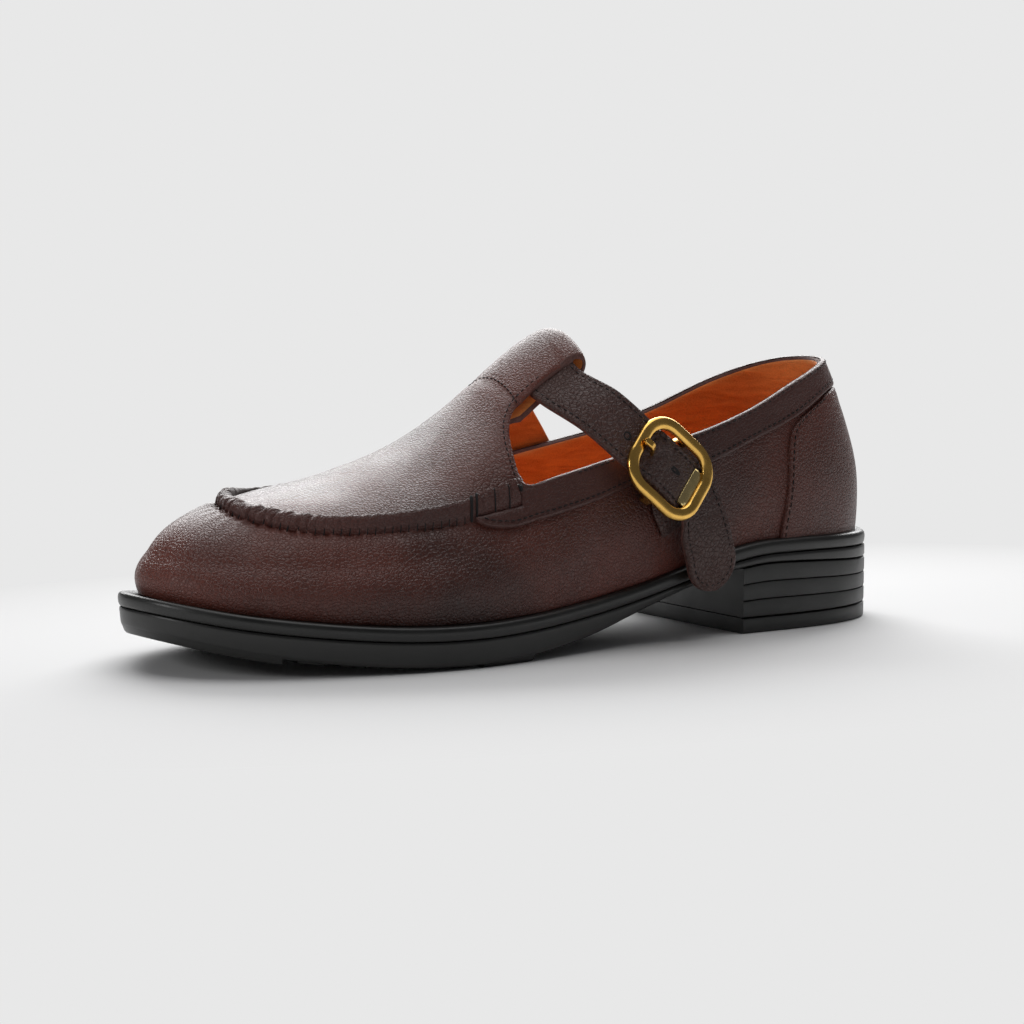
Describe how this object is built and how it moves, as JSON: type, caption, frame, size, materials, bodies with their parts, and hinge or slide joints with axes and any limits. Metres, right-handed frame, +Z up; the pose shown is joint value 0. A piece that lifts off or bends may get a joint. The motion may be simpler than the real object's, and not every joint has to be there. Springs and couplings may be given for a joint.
{
  "type": "mary jane shoe",
  "caption": "Left T-bar mary jane shoe with an apron seam, folded collar band, buckled strap through a folded loop, rubber welted sole and grooved low heel.",
  "frame": {"origin": "middle of the heel's base, on the floor", "axes": "+Z up, toe toward -Y, +X toward the shoe's outer (buckle) side"},
  "size_m": [0.0926, 0.2671, 0.0952],
  "materials": {
    "upper_leather": "dark red-brown pebbled leather with a soft burnished sheen",
    "burnished_leather": "the same leather, burnished darker at folded and gathered edges",
    "lining_leather": "matt orange-tan lining leather",
    "sole_rubber": "satin charcoal-black rubber",
    "buckle_brass": "polished yellow brass"
  },
  "bodies": {
    "root": {"outsole": "sole_rubber", "welt": "sole_rubber", "heel": "sole_rubber", "top_piece": "sole_rubber", "insole": "lining_leather", "upper": "upper_leather", "moc_seam": "burnished_leather", "collar_band": "burnished_leather", "counter": "upper_leather", "strap": "upper_leather", "chape": "upper_leather", "buckle_frame": "buckle_brass", "buckle_prong": "buckle_brass"}
  },
  "joints": []
}
